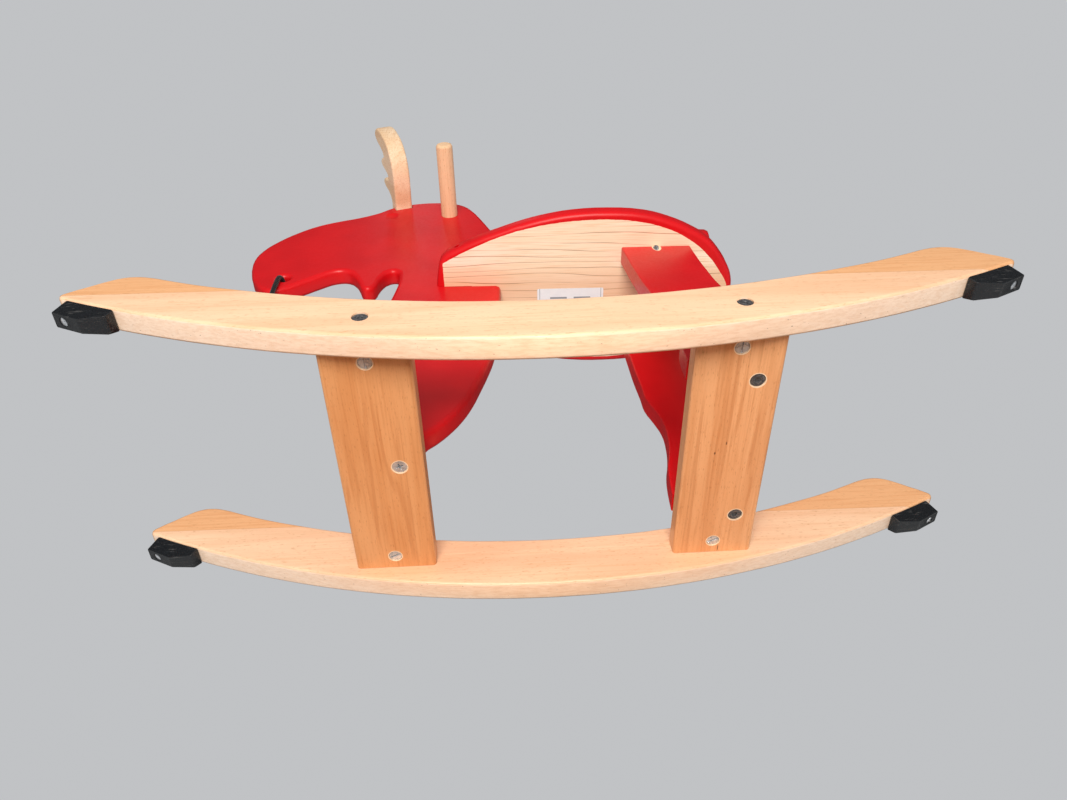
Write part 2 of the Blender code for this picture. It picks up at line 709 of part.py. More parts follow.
def make_rein():
    """Both runs leave the muzzle hole level, turn down over its rim and meet in a knot."""
    route = [
        (0.3045, 0.00015, 0.3880),
        (0.3047, 0.0040, 0.3880),
        (0.3050, 0.0086, 0.3871),
        (0.3054, 0.0125, 0.3845),
        (0.3058, 0.0151, 0.3806),
        (0.3061, 0.0160, 0.3760),
        (0.3064, 0.0158, 0.3660),
        (0.3067, 0.0150, 0.3520),
        (0.3069, 0.0130, 0.3340),
        (0.3070, 0.0104, 0.3160),
        (0.3070, 0.0076, 0.3000),
        (0.3070, 0.0055, 0.2895),
        (0.3070, 0.0046, 0.2832),
    ]
    for side, sign in SIDES.items():
        name = "rein_cord_" + side
        points = [Vector((x, sign * y, z)) for x, y, z in route]
        curve = bpy.data.curves.new(name, "CURVE")
        curve.dimensions = "3D"
        curve.bevel_depth = CORD_DIAMETER / 2
        curve.bevel_resolution = 2
        curve.use_fill_caps = True
        line = catmull_rom(points, 2)
        spline = curve.splines.new("POLY")
        spline.points.add(len(line) - 1)
        for knot, point in zip(spline.points, line):
            knot.co = (*point, 1)
        obj = bpy.data.objects.new(name, curve)
        parts.objects.link(obj)
        curve.materials.append(CORD)
    shape = bmesh.new()
    bmesh.ops.create_uvsphere(shape, u_segments=20, v_segments=12, radius=KNOT_RADIUS)
    mesh = bpy.data.meshes.new("rein_knot")
    shape.to_mesh(mesh)
    shape.free()
    smooth(add("rein_knot", mesh, Matrix.Translation(KNOT), CORD))


clear_scene()
PALE_BEECH = material("pale_beech", (0.86, 0.66, 0.44), 0.35)
BEECH = material("beech", (0.72, 0.43, 0.22), 0.4)
TURNED_BEECH = material("turned_beech", (0.80, 0.55, 0.33), 0.45)
PEG_WOOD = material("peg_wood", (0.78, 0.60, 0.40), 0.7)
RED_PAINT = material("red_paint", (0.65, 0.014, 0.018), 0.3)
BLACK_PLASTIC = material("black_plastic", (0.015, 0.015, 0.018), 0.35)
BLACK_STEEL = material("black_steel", (0.05, 0.05, 0.055), 0.35, 1.0)
ZINC = material("zinc", (0.62, 0.64, 0.68), 0.3, 1.0)
PAPER = material("label_film", (0.85, 0.86, 0.88), 0.5)
CORD = material("black_cord", (0.012, 0.012, 0.013), 0.8)

rockers = make_rockers()
cross_boards = make_cross_boards()
join_rockers(rockers, cross_boards)
make_end_stops(rockers)
head = make_head_board()
make_handle(head)
make_antlers(head)
seat = make_seat(head)
make_backrest(seat)
make_hind_legs(seat, cross_boards["rear"])
join_head(head, cross_boards["front"])
make_label()
make_rein()
make_cuts()
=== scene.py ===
# %% [markdown]
# # A wooden rocking animal
# A child's rocker: two curved beech rockers joined by two cross boards, a red head and neck board
# with antlers and a round handle, a red seat on two splayed legs, and a short black rein. The
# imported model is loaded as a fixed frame, and each board is finished round it.

# %% Load the frame
import math

import bmesh
import bpy
import numpy as np
from mathutils import Matrix, Vector


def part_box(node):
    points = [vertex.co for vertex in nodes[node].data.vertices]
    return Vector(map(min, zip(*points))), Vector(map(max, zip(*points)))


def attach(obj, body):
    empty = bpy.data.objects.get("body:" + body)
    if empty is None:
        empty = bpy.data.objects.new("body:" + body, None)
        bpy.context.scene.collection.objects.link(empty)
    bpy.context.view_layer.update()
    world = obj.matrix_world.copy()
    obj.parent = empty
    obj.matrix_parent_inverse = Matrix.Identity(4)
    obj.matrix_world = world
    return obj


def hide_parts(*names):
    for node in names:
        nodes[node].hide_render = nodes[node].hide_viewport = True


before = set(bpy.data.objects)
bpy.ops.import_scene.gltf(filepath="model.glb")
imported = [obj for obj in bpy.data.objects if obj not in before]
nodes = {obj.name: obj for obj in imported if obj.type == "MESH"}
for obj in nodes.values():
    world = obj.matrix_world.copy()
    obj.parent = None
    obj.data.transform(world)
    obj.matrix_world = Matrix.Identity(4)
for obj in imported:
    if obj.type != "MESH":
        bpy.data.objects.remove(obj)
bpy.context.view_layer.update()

SIDES = {"left": 1, "right": -1}
ENDS = ("front", "rear")
print(len(nodes), "solids in the frame")

# %% [markdown]
# ## Camera
# The toy is looked at from below and from its left side, close enough for strong perspective. A
# camera can be aimed with a constraint, but a matrix from three angles is exact: azimuth and
# elevation give the direction, and roll turns the picture a few degrees.

# %% Camera
CAMERA_PLACE = Vector((0.03746, 0.46405, -0.52975))
LENS_MM, SENSOR_MM = 27.68, 36
AZIMUTH, ELEVATION, ROLL = (math.radians(a) for a in (176.772, -54.563, -5.077))
camera_data = bpy.data.cameras.new("camera")
camera_data.lens = LENS_MM
camera_data.sensor_width = SENSOR_MM
camera_data.clip_start = 0.01
back = Vector((
    math.sin(AZIMUTH) * math.cos(ELEVATION),
    -math.cos(AZIMUTH) * math.cos(ELEVATION),
    math.sin(ELEVATION),
))
level = (-back).cross(Vector((0, 0, 1))).normalized()
above = level.cross(-back)
across = level * math.cos(ROLL) + above * math.sin(ROLL)
upward = above * math.cos(ROLL) - level * math.sin(ROLL)
camera = bpy.data.objects.new("camera", camera_data)
camera.matrix_world = Matrix((across, upward, back)).transposed().to_4x4()
camera.location = CAMERA_PLACE
scene = bpy.context.scene
scene.collection.objects.link(camera)
scene.camera = camera
scene.view_settings.view_transform = "Standard"
print("camera at", tuple(round(c, 3) for c in camera.location))

# %% [markdown]
# ## Colours and nodes
# Every material is a small tree of nodes. One function turns an sRGB hex colour to the linear
# numbers that shaders work in, one adds a node with its settings and links, and one starts a
# material with the constants on the shader's own sockets.


# %% Colour, node and material helpers
SOFT_EDGE = 0.0004


def linear(hex_colour):
    """An sRGB hex colour as linear red, green, blue and alpha."""
    shares = [int(hex_colour[i : i + 2], 16) / 255 for i in (1, 3, 5)]
    return (*[s / 12.92 if s <= 0.04045 else ((s + 0.055) / 1.055) ** 2.4 for s in shares], 1.0)


def add_node(tree, kind, inputs, **settings):
    """A node with its settings, its constant inputs and its links."""
    made = tree.nodes.new("ShaderNode" + kind)
    for name, value in settings.items():
        setattr(made, name, value)
    for socket, value in inputs.items():
        if isinstance(value, bpy.types.NodeSocket):
            tree.links.new(value, made.inputs[socket])
        else:
            made.inputs[socket].default_value = value
    return made


def start_material(name, **constants):
    """A material, its tree, its shader and the Object coordinates."""
    made = bpy.data.materials.new(name)
    made.use_nodes = True
    tree = made.node_tree
    shader = tree.nodes["Principled BSDF"]
    for socket, value in constants.items():
        shader.inputs[socket.replace("_", " ")].default_value = value
    place = add_node(tree, "TexCoord", {}).outputs["Object"]
    return made, tree, shader, place


def blend(tree, share, low, high):
    """Two colours mixed by a share, as hex text or as sockets."""
    low, high = (linear(c) if isinstance(c, str) else c for c in (low, high))
    return add_node(tree, "Mix", {0: share, 6: low, 7: high}, data_type="RGBA").outputs[2]


def ramp(tree, value, start, end, low=0.0, high=1.0):
    """A value eased from low to high as it goes from start to end."""
    inputs = {"Value": value, "From Min": start, "From Max": end, "To Min": low, "To Max": high}
    return add_node(tree, "MapRange", inputs, interpolation_type="SMOOTHSTEP").outputs[0]


def sums(tree, how, first, second=0.0):
    """One sum of two values, by the name of Blender's operation."""
    return add_node(tree, "Math", {0: first, 1: second}, operation=how).outputs[0]


def speckle(tree, place, size_mm, turn=(0, 0, 0), detail=2.0, rough=0.5, warp=0.0, shift=(0, 0, 0)):
    """Noise whose cells are size_mm long, wide and deep, in millimetres, on turned coordinates."""
    turned = add_node(tree, "Mapping", {"Vector": place, "Rotation": turn, "Location": shift})
    scale = tuple(1000 / s for s in size_mm)
    cells = add_node(tree, "Mapping", {"Vector": turned.outputs[0], "Scale": scale})
    inputs = {"Scale": 1.0, "Detail": detail, "Roughness": rough, "Distortion": warp}
    return add_node(tree, "TexNoise", {"Vector": cells.outputs[0], **inputs}).outputs["Fac"]


def dress(tree, shader, colour, roughness, height=None, depth_mm=0.0):
    """Links the colour, the roughness and a bump whose depth is in millimetres."""
    tree.links.new(colour, shader.inputs["Base Color"])
    tree.links.new(roughness, shader.inputs["Roughness"])
    if height is not None:
        bump = add_node(tree, "Bump", {"Height": height, "Distance": depth_mm / 1000})
        tree.links.new(bump.outputs[0], shader.inputs["Normal"])


def near_axis(tree, place, centre, axis, radius):
    """A share that is 1 within a radius of an axis through the centre, with a soft edge."""
    inputs = {0: place, 1: tuple(centre)}
    from_centre = add_node(tree, "VectorMath", inputs, operation="SUBTRACT").outputs[0]
    inputs = {0: from_centre, 1: tuple(Vector(axis).normalized())}
    off_axis = add_node(tree, "VectorMath", inputs, operation="CROSS_PRODUCT").outputs[0]
    distance = add_node(tree, "VectorMath", {0: off_axis}, operation="LENGTH").outputs["Value"]
    return ramp(tree, distance, radius, radius + SOFT_EDGE, 1.0, 0.0)


def add_piece(name, shape, finish):
    """An object made from a bmesh, with one material. It frees the bmesh."""
    mesh = bpy.data.meshes.new(name)
    shape.to_mesh(mesh)
    shape.free()
    mesh.materials.append(finish)
    made = bpy.data.objects.new(name, mesh)
    scene.collection.objects.link(made)
    return made


print("helpers for colours, nodes, materials and pieces")

# %% [markdown]
# ## The rein
# One length of braided black cord, 6 mm thick, goes through the hole in the muzzle and hangs down
# on both sides to a knot. A bevelled curve would be smooth like a rubber hose. Here a circle is
# extruded along the route, ring by ring, and its points are pushed in and out by the braid, so
# that the strands are real relief. The route's points are the CAD cord's own.

# %% The rein's route
CORD_DIAMETER = 0.006
KNOT = Vector((0.3070, 0.0, 0.272))
ROUTE = (
    (0.3045, 0.00015, 0.3880),
    (0.3047, 0.0040, 0.3880),
    (0.3050, 0.0086, 0.3871),
    (0.3054, 0.0125, 0.3845),
    (0.3058, 0.0151, 0.3806),
    (0.3061, 0.0160, 0.3760),
    (0.3064, 0.0158, 0.3660),
    (0.3067, 0.0150, 0.3520),
    (0.3069, 0.0130, 0.3340),
    (0.3070, 0.0104, 0.3160),
    (0.3070, 0.0076, 0.3000),
    (0.3070, 0.0055, 0.2895),
    (0.3070, 0.0046, 0.2832),
)


def through(points, per_span):
    """A Catmull-Rom curve through the points."""
    padded = [2 * points[0] - points[1], *points, 2 * points[-1] - points[-2]]
    line = []
    for a, b, c, d in zip(padded, padded[1:], padded[2:], padded[3:]):
        for t in (i / per_span for i in range(per_span)):
            square = (2 * a - 5 * b + 4 * c - d) * t**2
            cube = (3 * b - a - 3 * c + d) * t**3
            line.append(0.5 * (2 * b + (c - a) * t + square + cube))
    return [*line, points[-1]]


def line_length(line):
    """The length of a line of points."""
    return sum((b - a).length for a, b in zip(line, line[1:]))


RINGS_PER_SPAN = 24
ROUTES = {}
for side, sign in SIDES.items():
    ROUTES[side] = through([Vector((x, sign * y, z)) for x, y, z in ROUTE], RINGS_PER_SPAN)
print("one run of the rein is", round(1000 * line_length(ROUTES["left"])), "mm long")

# %% Braided cord and knot
STRANDS = 5
STRAND_PITCH = 0.0066
BRAID_DEPTH = 0.0003
RING_POINTS = 42


def braided_tube(name, line, finish):
    """A tube swept along a line, with crossing strands standing out of it."""
    shape = bmesh.new()
    uv = shape.loops.layers.uv.new("strands")
    uv_of = {}
    radius = CORD_DIAMETER / 2 - BRAID_DEPTH
    first = bmesh.ops.create_circle(shape, segments=RING_POINTS, radius=radius)["verts"]
    angles = {v: math.atan2(v.co.y, v.co.x) for v in first}
    edges = shape.edges[:]
    along = 0.0
    side_axis = None
    for i, point in enumerate(line):
        forward = (line[min(i + 1, len(line) - 1)] - line[max(i - 1, 0)]).normalized()
        if side_axis is None:
            side_axis = forward.orthogonal().normalized()
        side_axis = (side_axis - forward * side_axis.dot(forward)).normalized()
        other = forward.cross(side_axis)
        if i:
            along += (point - line[i - 1]).length
            made = bmesh.ops.extrude_edge_only(shape, edges=edges)["geom"]
            edges = [e for e in made if isinstance(e, bmesh.types.BMEdge)]
            fresh_angles = {}
            for v in (v for v in made if isinstance(v, bmesh.types.BMVert)):
                twin = next(e.other_vert(v) for e in v.link_edges if e.other_vert(v) in angles)
                fresh_angles[v] = angles[twin]
            angles = fresh_angles
        for v, a in angles.items():
            lift = math.cos(STRANDS * a + 2 * math.pi * along / STRAND_PITCH)
            lift *= math.cos(STRANDS * a - 2 * math.pi * along / STRAND_PITCH)
            out = radius + BRAID_DEPTH * lift
            v.co = point + out * (side_axis * math.cos(a) + other * math.sin(a))
            uv_of[v] = (a / (2 * math.pi) % 1, along * 1000)
    bmesh.ops.holes_fill(shape, edges=[e for e in shape.edges if e.is_boundary], sides=0)
    for face in shape.faces:
        for loop in face.loops:
            loop[uv].uv = uv_of[loop.vert]
        face.smooth = True
    bmesh.ops.recalc_face_normals(shape, faces=shape.faces)
    made = add_piece(name, shape, finish)
    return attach(made, "root")


# Braided polyester cord: black, soft sheen on the crown of each strand, dull between them.
braided_cord, tree, shader, place = start_material(
    "braided_polyester_cord", Specular_IOR_Level=0.35, Sheen_Weight=0.25, Sheen_Roughness=0.4
)
fibre = speckle(tree, place, (0.7, 0.7, 0.7), detail=3)
black = blend(tree, fibre, "#060607", "#1B1B1F")
dress(tree, shader, black, ramp(tree, fibre, 0.3, 0.7, 0.55, 0.8), fibre, 0.12)

# The knot is a trefoil, the simplest knot there is.
KNOT_SIZE = 0.0024
KNOT_STEPS = 260
knot_line = []
for i in range(KNOT_STEPS):
    t = 2 * math.pi * i / KNOT_STEPS
    y = math.cos(t) - 2 * math.cos(2 * t)
    z = math.sin(t) + 2 * math.sin(2 * t)
    knot_line.append(KNOT + KNOT_SIZE * Vector((-math.sin(3 * t), y, z)))
rein_knot = braided_tube("rein_knot_tied", [*knot_line, knot_line[0]], braided_cord)
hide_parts("rein_knot")
for side, sign in SIDES.items():
    run = braided_tube("rein_" + side, ROUTES[side], braided_cord)
    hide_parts("rein_cord_" + side)
print("rein made of two runs and a knot")

# %% [markdown]
# ## Boards
# The solids of the frame have the right shapes, but their triangles are loose, so light breaks on
# every facet. A board is finished on a copy: the points are merged, flat faces are made whole and
# the rounded edges are shaded smooth. A weighted normal keeps the flat faces flat right up to
# their rounding.


# %% Board helper
MERGE_WITHIN = 0.00002
FLAT_WITHIN = math.radians(0.4)


def finish_board(node, name, finish, sharp=38):
    """A merged, smooth-shaded copy of a solid that stands for it. Over sharp degrees is an edge."""
    mesh = nodes[node].data.copy()
    mesh.name = name
    shape = bmesh.new()
    shape.from_mesh(mesh)
    bmesh.ops.remove_doubles(shape, verts=shape.verts, dist=MERGE_WITHIN)
    bmesh.ops.dissolve_degenerate(shape, edges=shape.edges, dist=MERGE_WITHIN)
    bmesh.ops.dissolve_limit(
        shape, angle_limit=FLAT_WITHIN, verts=shape.verts, edges=shape.edges
    )
    shape.to_mesh(mesh)
    shape.free()
    mesh.materials.clear()
    mesh.materials.append(finish)
    mesh.shade_smooth()
    mesh.set_sharp_from_angle(angle=math.radians(sharp))
    board = bpy.data.objects.new(name, mesh)
    scene.collection.objects.link(board)
    even = board.modifiers.new("flat faces stay flat", "WEIGHTED_NORMAL")
    even.keep_sharp = True
    even.weight = 90
    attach(board, "root")
    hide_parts(node)


print("boards are finished on copies of their solids")

# %% [markdown]
# ## Lacquered beech rockers
# Beech is pale and close-grained, with short dark ray flecks along the board. Each rocker is
# glued up from two planks, and the upper one is a little redder at both ends. The clear lacquer
# gives a soft shine. The running edge is sanded across the layers, so it is pinker and dustier,
# and it is also painted paler than the sides as a painted highlight from the low light below.

# %% Lacquered beech
LENGTHWAYS = (0.0, 0.0, 0.0)
CROSSWAYS = (0.0, 0.0, math.pi / 2)
UPWAYS = (0.0, math.pi / 2, 0.0)
GLUE_LINE_HEIGHT, GLUE_LINE_RISE = 0.0873, 0.0194


def beech_grain(tree, place, turn, shift=(0, 0, 0)):
    """Shares for the wide bands, the fine streaks and the short ray flecks of beech."""
    bands = speckle(tree, place, (300, 26, 26), turn, detail=3, warp=0.6, shift=shift)
    streaks = speckle(tree, place, (70, 1.9, 1.9), turn, detail=4, rough=0.6, shift=shift)
    flecks = speckle(tree, place, (5.5, 1.0, 1.0), turn, detail=1, shift=shift)
    return bands, streaks, ramp(tree, flecks, 0.62, 0.74)


lacquered_beech, tree, shader, place = start_material(
    "lacquered_beech", Coat_Weight=0.35, Coat_Roughness=0.28, Specular_IOR_Level=0.4
)
bands, streaks, flecks = beech_grain(tree, place, LENGTHWAYS)
wood = blend(tree, ramp(tree, bands, 0.3, 0.7), "#F0CEAC", "#E8BC98")
wood = blend(tree, ramp(tree, streaks, 0.45, 0.75, 0.0, 0.4), wood, "#D6A675")
xyz = add_node(tree, "SeparateXYZ", {0: place})
# The glue line climbs slightly towards the front.
glue_height = sums(tree, "MULTIPLY_ADD", xyz.outputs["X"], GLUE_LINE_RISE)
glue_height.node.inputs[2].default_value = GLUE_LINE_HEIGHT
above_glue = sums(tree, "SUBTRACT", xyz.outputs["Z"], glue_height)
upper_plank = ramp(tree, above_glue, -0.0002, 0.0002)
upper_wood = blend(tree, ramp(tree, streaks, 0.4, 0.8), "#E3AE7E", "#D59A68")
wood = blend(tree, upper_plank, wood, upper_wood)
seam = ramp(tree, sums(tree, "ABSOLUTE", above_glue), 0.0002, 0.0006, 0.35, 0.0)
wood = blend(tree, seam, wood, "#B57F50")
wood = blend(tree, sums(tree, "MULTIPLY", flecks, 0.4), wood, "#B98453")
# The sanded running edge faces down. Faces turned down are painted paler: partly sanded wood, partly a
# painted highlight.
normal = add_node(tree, "NewGeometry", {}).outputs["Normal"]
facing = add_node(tree, "SeparateXYZ", {0: normal})
down_face_share = ramp(tree, facing.outputs["Z"], -0.93, -0.80, 1.0, 0.0)
edge_cells = speckle(tree, place, (14, 2.2, 2.2), detail=4, rough=0.7)
sanded_edge_and_painted_light = blend(tree, ramp(tree, edge_cells, 0.35, 0.7), "#F8E3D0", "#E8CCB4")
# Painted highlight: the down-facing running edge is blended towards pale cream, over its sanded colour.
wood = blend(tree, sums(tree, "MULTIPLY", down_face_share, 0.8), wood, sanded_edge_and_painted_light)
specks = speckle(tree, place, (2.6, 1.6, 1.6), detail=2, shift=(0.3, 0.1, 0))
dust = sums(tree, "MULTIPLY", ramp(tree, specks, 0.70, 0.76), down_face_share)
wood = blend(tree, sums(tree, "MULTIPLY", dust, 0.7), wood, "#6E5844")
worn = ramp(tree, down_face_share, 0.0, 1.0, 0.36, 0.6)
worn = sums(tree, "ADD", worn, ramp(tree, streaks, 0.3, 0.8, 0.0, 0.08))
pores = sums(tree, "SUBTRACT", streaks, sums(tree, "MULTIPLY", flecks, 0.4))
dress(tree, shader, wood, worn, pores, 0.05)
for side in SIDES:
    finish_board("rocker_" + side, "beech_rocker_" + side, lacquered_beech)
print("two rockers of lacquered beech")

# %% [markdown]
# ## Cross boards
# The two boards between the rockers are steamed beech: redder, flat-sawn, with flecks along the
# board and wide arches of grain on the rear one. Round each fastener the drilled rim is bare wood,
# and it is also painted near white as a painted highlight where its chamfer would catch the light.
# The rear board also has two small knots and a short crack at its end.

# %% Steamed beech
FASTENER_RIM = 0.0005
NUT_HOLE, BOLT_HOLE = 0.0063, 0.0069


def hole_centre(node):
    """The middle of the solid in a hole."""
    low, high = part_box(node)
    return (low + high) / 2


def steamed_beech(name, pale, deep, shift, holes, marks=()):
    """Beech for one cross board, with its rimmed holes and its marks."""
    made, tree, shader, place = start_material(
        name, Coat_Weight=0.2, Coat_Roughness=0.35, Specular_IOR_Level=0.4
    )
    bands, streaks, flecks = beech_grain(tree, place, CROSSWAYS, shift)
    arches = speckle(tree, place, (240, 10, 10), CROSSWAYS, detail=2, warp=1.6, shift=shift)
    wood = blend(tree, ramp(tree, bands, 0.3, 0.7), pale, deep)
    wood = blend(tree, ramp(tree, arches, 0.52, 0.66, 0.0, 0.35), wood, "#B9743F")
    wood = blend(tree, ramp(tree, streaks, 0.45, 0.75, 0.0, 0.38), wood, "#C0793F")
    wood = blend(tree, sums(tree, "MULTIPLY", flecks, 0.4), wood, "#A5652F")
    for (x, y), (length, width), lean in marks:
        inputs = {"Vector": place, "Location": (-x, -y, 0), "Scale": (1, 1, 0)}
        centred = add_node(tree, "Mapping", inputs)
        inputs = {"Rotation": (0, 0, lean), "Scale": (1 / width, 1 / length, 0)}
        stretched = add_node(tree, "Mapping", {"Vector": centred.outputs[0], **inputs})
        inputs = {0: stretched.outputs[0]}
        away = add_node(tree, "VectorMath", inputs, operation="LENGTH").outputs["Value"]
        wood = blend(tree, ramp(tree, away, 0.5, 1.1, 0.8, 0.0), wood, "#4A2C17")
    for centre, radius in holes:
        # Painted highlight: a near-white ring round each hole, for the bare rim and the light on its
        # chamfer.
        rim = near_axis(tree, place, centre, (0, 0, 1), radius + FASTENER_RIM)
        wood = blend(tree, rim, wood, "#FBE4C6")
    pores = sums(tree, "SUBTRACT", streaks, sums(tree, "MULTIPLY", flecks, 0.5))
    dress(tree, shader, wood, ramp(tree, streaks, 0.3, 0.8, 0.40, 0.5), pores, 0.06)
    return made


front_holes, rear_holes = (
    [(hole_centre(f"rocker_nut_{end}_{side}"), NUT_HOLE) for side in SIDES] for end in ENDS
)
front_holes.append((hole_centre("head_screw"), BOLT_HOLE))
rear_holes += [(hole_centre("leg_bolt_" + side), BOLT_HOLE) for side in SIDES]
# Each mark is its place on the board, its length and width, and its lean.
rear_marks = [
    ((-0.1456, -0.0003), (0.0017, 0.0009), 0.2),
    ((-0.1549, 0.0105), (0.0022, 0.0007), -0.1),
    ((-0.1618, -0.1195), (0.0048, 0.0006), 0.05),
]
front_beech = steamed_beech(
    "steamed_beech_front", "#E5AB76", "#D99962", (0.1, 0.7, 0.2), front_holes
)
rear_beech = steamed_beech(
    "steamed_beech_rear", "#EFB785", "#E1A471", (0.5, 0.3, 0.9), rear_holes, rear_marks
)
finish_board("cross_board_front", "front_cross_board", front_beech)
finish_board("cross_board_rear", "rear_cross_board", rear_beech)
print("two cross boards with", len(front_holes) + len(rear_holes), "rimmed holes")

# %% [markdown]
# ## Antlers and handle
# The antlers are one board, sawn and only sanded, so its narrow edge keeps fine marks across it.
# The handle is a turned rod with softened ends. Neither has lacquer, so both are dull and pale.


# %% Sanded beech
def sanded_beech(name, turn, pale, deep, saw_marks):
    """Beech without lacquer. Saw marks cross every face that isn't one of the board's two flats."""
    made, tree, shader, place = start_material(name, Specular_IOR_Level=0.3)
    bands, streaks, flecks = beech_grain(tree, place, turn, (0.2, 0.4, 0.1))
    wood = blend(tree, ramp(tree, bands, 0.35, 0.65), pale, deep)
    wood = blend(tree, ramp(tree, streaks, 0.45, 0.75, 0.0, 0.4), wood, "#C48E5C")
    wood = blend(tree, sums(tree, "MULTIPLY", flecks, 0.45), wood, "#AC7645")
    height = streaks
    if saw_marks:
        normal = add_node(tree, "NewGeometry", {}).outputs["Normal"]
        facing = add_node(tree, "SeparateXYZ", {0: normal})
        on_edge = ramp(tree, sums(tree, "ABSOLUTE", facing.outputs["Y"]), 0.05, 0.4)
        marks = speckle(tree, place, (30, 1.1, 1.1), detail=1)
        share = sums(tree, "MULTIPLY", ramp(tree, marks, 0.5, 0.7), sums(tree, "MULTIPLY", on_edge, 0.3))
        wood = blend(tree, share, wood, "#C99A6B")
        height = sums(tree, "ADD", streaks, sums(tree, "MULTIPLY", marks, on_edge))
    dress(tree, shader, wood, ramp(tree, streaks, 0.3, 0.8, 0.52, 0.66), height, 0.08)
    return made


antler_beech = sanded_beech("sanded_beech_antlers", UPWAYS, "#F4DBBB", "#E8C6A0", True)
handle_beech = sanded_beech("sanded_beech_handle", CROSSWAYS, "#EDC7A0", "#E0B083", False)
finish_board("antler_board", "antlers", antler_beech)
finish_board("handle_dowel", "round_handle", handle_beech, sharp=50)
print("antlers and handle of sanded beech")

# %% [markdown]
# ## Red paint
# Head, seat, backrest and hind legs are sprayed with satin red paint. Spraying leaves a very soft
# orange peel of about 3 mm, and the coat shines on rounded edges. The seat's underside is bare:
# the paint stops at a line just inside the rounded edge, and the wood inside it shows thin dark
# growth lines along its length.


# %% Satin red paint
def red_paint(tree, place):
    """The colour and the bump height of the paint."""
    cloud = speckle(tree, place, (60, 60, 60), detail=2)
    peel = speckle(tree, place, (3.2, 3.2, 3.2), detail=2)
    colour = blend(tree, ramp(tree, cloud, 0.3, 0.7), "#D41018", "#C80D16")
    return colour, peel


PAINT_GLOSS = {"Coat_Weight": 0.15, "Coat_Roughness": 0.25, "Specular_IOR_Level": 0.25}
PEEL_MM = 0.03
satin_red, tree, shader, place = start_material("satin_red_paint", **PAINT_GLOSS)
paint, peel = red_paint(tree, place)
dress(tree, shader, paint, ramp(tree, peel, 0.3, 0.7, 0.34, 0.42), peel, PEEL_MM)
finish_board("head_board", "head_and_neck", satin_red)
finish_board("backrest", "low_backrest", satin_red)
TOE_SCREW_LEAN = math.radians(32)
TOE_SCREW_RIM = 0.0050
for side, sign in SIDES.items():
    # The slanting recess for the top screw is drilled through the paint, so its rim is bare wood.
    low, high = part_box("toe_screw_" + side)
    recess_axis = (0, sign * math.sin(TOE_SCREW_LEAN), -math.cos(TOE_SCREW_LEAN))
    name = "satin_red_paint_leg_" + side
    leg_paint, tree, shader, place = start_material(name, **PAINT_GLOSS)
    paint, peel = red_paint(tree, place)
    drilled = near_axis(tree, place, (low + high) / 2, recess_axis, TOE_SCREW_RIM)
    paint = blend(tree, drilled, paint, "#F3DABB")
    dress(tree, shader, paint, ramp(tree, peel, 0.3, 0.7, 0.34, 0.42), peel, PEEL_MM)
    finish_board("hind_leg_" + side, "hind_leg_board_" + side, leg_paint)
print("head, backrest and legs painted")

# %% Seat with a bare underside
# The underside rises towards the front through this point. The paint line is half of its outline.
SEAT_SLOPE = math.radians(2)
UNDERSIDE_X, UNDERSIDE_Z = 0.043, 0.3455
PAINT_LINE = (
    (-0.2310, 0.0),
    (-0.2298, 0.0066),
    (-0.2189, 0.0253),
    (-0.2046, 0.0441),
    (-0.1813, 0.0644),
    (-0.1499, 0.0805),
    (-0.1197, 0.0882),
    (-0.0898, 0.0914),
    (-0.0603, 0.0911),
    (-0.0304, 0.0888),
    (-0.0009, 0.0839),
    (0.0291, 0.0757),
    (0.0596, 0.0642),
    (0.0845, 0.0526),
    (0.1019, 0.0431),
)
LINE_START, LINE_END = PAINT_LINE[0][0], 0.1055
LINE_END_WIDTH = 0.041
LINE_REACH = 0.1
# Radians per metre, so that |sin| is 0 each 8 mm across the board.
GROWTH_RATE = 390.0
SWAY = 13.0

seat_finish, tree, shader, place = start_material(
    "satin_red_paint_bare_below", Specular_IOR_Level=0.28
)
paint, peel = red_paint(tree, place)
xyz = add_node(tree, "SeparateXYZ", {0: place})
share_along = ramp(tree, xyz.outputs["X"], LINE_START, LINE_END)
share_along.node.interpolation_type = "LINEAR"
line_curve = add_node(tree, "FloatCurve", {"Value": share_along})
curve = line_curve.mapping.curves[0]
shares = [((x - LINE_START) / (LINE_END - LINE_START), y / LINE_REACH) for x, y in PAINT_LINE]
curve.points[0].location = shares[0]
curve.points[1].location = (1.0, LINE_END_WIDTH / LINE_REACH)
for x, y in shares[1:]:
    curve.points.new(x, y)
line_curve.mapping.update()
wobble = sums(tree, "SUBTRACT", speckle(tree, place, (7, 7, 7)), 0.5)
wobble = sums(tree, "MULTIPLY", wobble, 0.0012)
half_width = sums(tree, "MULTIPLY", line_curve.outputs[0], LINE_REACH)
spare = sums(tree, "SUBTRACT", half_width, sums(tree, "ABSOLUTE", xyz.outputs["Y"]))
spare = sums(tree, "MINIMUM", spare, sums(tree, "SUBTRACT", LINE_END, xyz.outputs["X"]))
inside_line = ramp(tree, sums(tree, "ADD", spare, wobble), -0.0002, 0.0004)
underside = sums(tree, "MULTIPLY_ADD", xyz.outputs["X"], math.tan(SEAT_SLOPE))
underside.node.inputs[2].default_value = UNDERSIDE_Z - UNDERSIDE_X * math.tan(SEAT_SLOPE)
above = sums(tree, "SUBTRACT", xyz.outputs["Z"], underside)
on_underside = ramp(tree, above, 0.0006, 0.0012, 1.0, 0.0)
bare = sums(tree, "MULTIPLY", inside_line, on_underside)
broad = speckle(tree, place, (200, 30, 30), detail=3, warp=0.8)
sway = speckle(tree, place, (300, 44, 44), detail=2, shift=(0.1, 0.3, 0))
